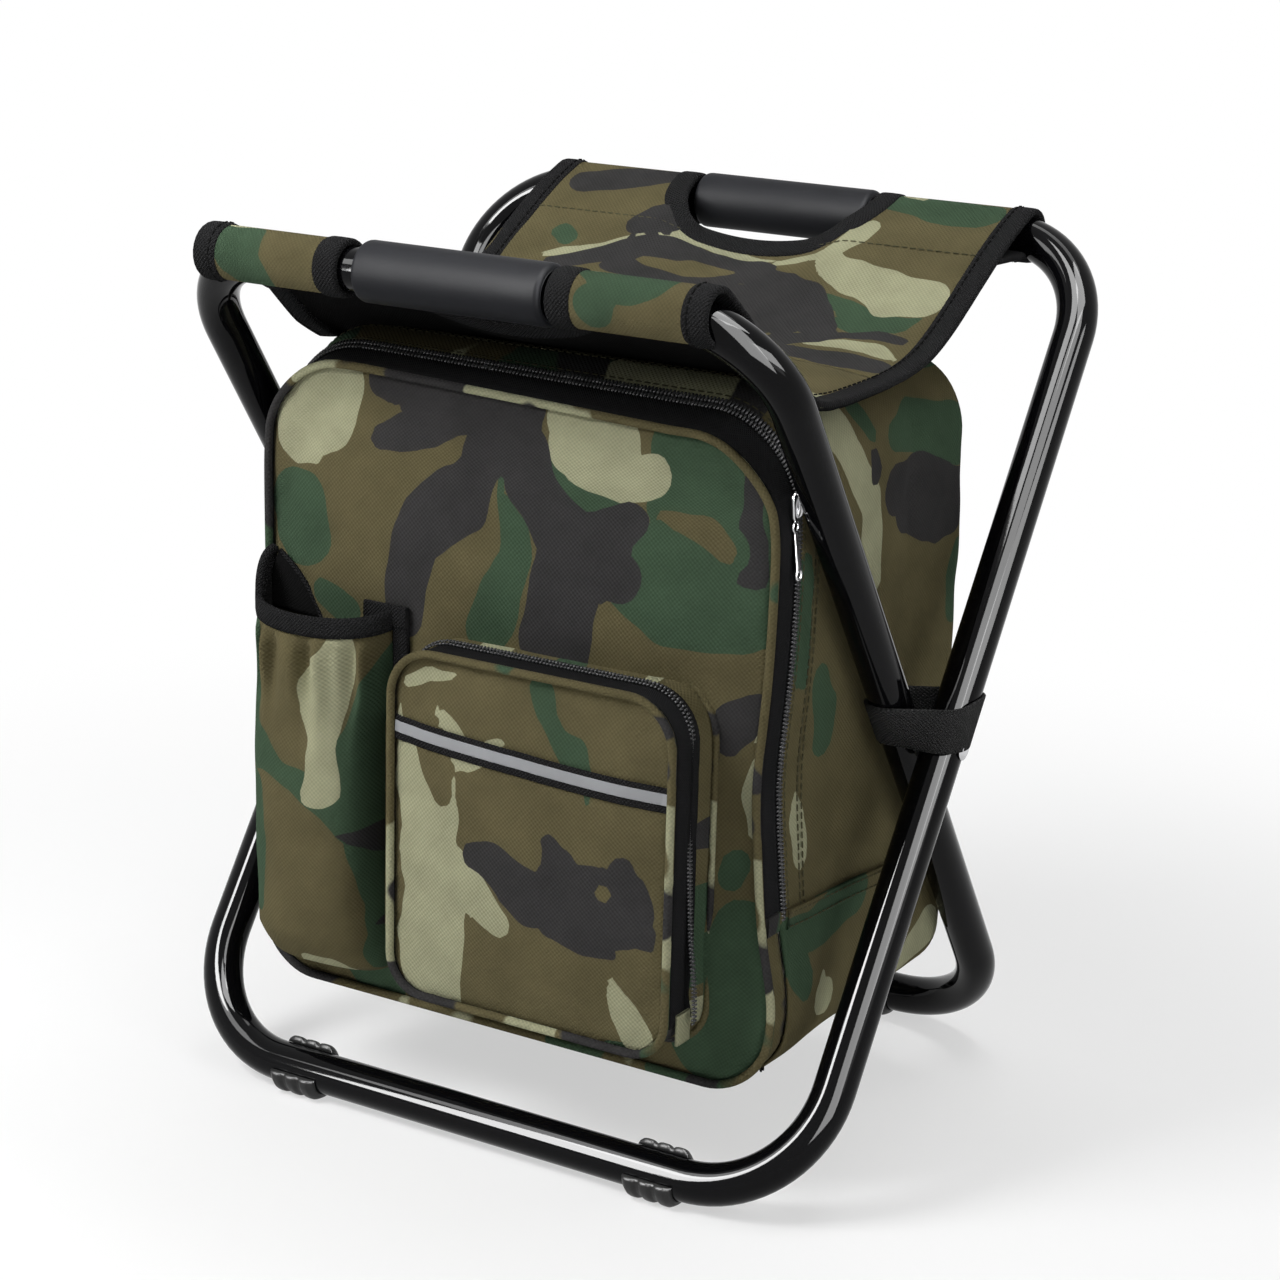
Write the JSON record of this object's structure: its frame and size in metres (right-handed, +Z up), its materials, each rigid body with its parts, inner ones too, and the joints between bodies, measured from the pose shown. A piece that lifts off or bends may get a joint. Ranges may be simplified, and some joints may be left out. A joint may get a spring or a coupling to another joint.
{
  "type": "folding cooler stool",
  "caption": "Folding stool with crossed tube frames, a sling seat on two gripped rails, and an insulated zip bag with pockets hung between the legs.",
  "frame": {"origin": "on the floor, at the middle of the bounding box's bottom", "axes": "+Z up, +X to the right along the rails, -Y towards the front with the pockets"},
  "size_m": [0.3566, 0.3076, 0.4083],
  "materials": {
    "tube_black": "gloss black enamel",
    "grip_foam": "matte foam rubber",
    "clip_plastic": "moulded, satin",
    "bright_steel": "bright plated",
    "camouflage_cloth": "printed woven oxford cloth",
    "black_webbing": "ribbed webbing",
    "zip_cloth": "zip tape with coil teeth",
    "foam_white": "closed cell foam",
    "liner_foil": "aluminised film",
    "reflective_tape": "silver reflective"
  },
  "bodies": {
    "outer_frame": {"outer_frame": "tube_black", "rear_grip": "grip_foam", "rear_sleeve_left": "camouflage_cloth", "rear_sleeve_right": "camouflage_cloth", "front_foot_left": "clip_plastic", "front_foot_right": "clip_plastic", "pivot_rivet_left": "bright_steel", "pivot_rivet_right": "bright_steel", "pivot_washer_left": "clip_plastic", "pivot_washer_right": "clip_plastic"},
    "bag": {"bag_shell": "camouflage_cloth", "bag_insulation": "foam_white", "bag_liner": "liner_foil", "base_board": "clip_plastic", "zip_tape_bag": "zip_cloth", "frame_strap_left": "black_webbing", "frame_strap_right": "black_webbing", "seat_panel": "camouflage_cloth", "shoulder_strap_left": "black_webbing", "shoulder_strap_right": "black_webbing", "strap_adjuster_left": "clip_plastic", "strap_adjuster_right": "clip_plastic", "strap_webbing_left": "black_webbing", "strap_webbing_right": "black_webbing"},
    "inner_frame": {"inner_frame": "tube_black", "front_grip": "grip_foam", "front_sleeve_left": "camouflage_cloth", "front_sleeve_right": "camouflage_cloth", "rear_foot_left": "clip_plastic", "rear_foot_right": "clip_plastic"},
    "front_flap": {"front_flap": "camouflage_cloth", "flap_insulation": "foam_white", "flap_liner": "liner_foil", "flap_piping": "camouflage_cloth", "zip_tape_flap": "zip_cloth", "pocket_gusset": "camouflage_cloth", "pocket_zip_tape_base": "zip_cloth", "bottle_pocket": "camouflage_cloth", "bottle_pocket_elastic": "black_webbing"},
    "pocket_cover": {"pocket_cover": "camouflage_cloth", "pocket_zip_tape_cover": "zip_cloth", "pocket_piping": "camouflage_cloth", "reflective_strip": "reflective_tape"},
    "main_zip_slider": {"main_zip_slider": "bright_steel"},
    "main_zip_pull": {"main_zip_pull": "bright_steel"},
    "pocket_zip_slider": {"pocket_zip_slider": "bright_steel"},
    "pocket_zip_pull": {"pocket_zip_pull": "bright_steel"}
  },
  "joints": [
    {"name": "frame_fold", "type": "hinge", "parent": "outer_frame", "child": "bag", "pos_m": [0, 0, 0.18922], "axis": [-1, 0, 0], "range_deg": [0, 30], "deforming": ["seat_panel"]},
    {"name": "inner_frame_fold", "type": "hinge", "parent": "bag", "child": "inner_frame", "pos_m": [0, 0, 0.18922], "axis": [-1, 0, 0], "range_deg": [0, 30], "deforming": ["seat_panel"]},
    {"name": "flap_hinge", "type": "hinge", "parent": "bag", "child": "front_flap", "pos_m": [0, -0.088, 0.05], "axis": [1, 0, 0], "range_deg": [0, 40]},
    {"name": "pocket_cover_hinge", "type": "hinge", "parent": "front_flap", "child": "pocket_cover", "pos_m": [0.032, -0.1165, 0.07], "axis": [1, 0, 0], "range_deg": [0, 30]},
    {"name": "main_zip_slide", "type": "slide", "parent": "bag", "child": "main_zip_slider", "axis": [0, 0, -1], "range_m": [0, 0.15]},
    {"name": "main_zip_pull_swing", "type": "hinge", "parent": "main_zip_slider", "child": "main_zip_pull", "pos_m": [0.1333, -0.088, 0.3032], "axis": [0, -1, 0], "range_deg": [0, 42]},
    {"name": "pocket_zip_slide", "type": "slide", "parent": "front_flap", "child": "pocket_zip_slider", "axis": [0, 0, 1], "range_m": [0, 0.09]},
    {"name": "pocket_zip_pull_swing", "type": "hinge", "parent": "pocket_zip_slider", "child": "pocket_zip_pull", "pos_m": [-0.0424, -0.1165, 0.0962], "axis": [0, 1, 0], "range_deg": [0, 40]}
  ],
  "couplings": [
    {"joint": "inner_frame_fold", "follows": "frame_fold", "ratio": 1}
  ]
}
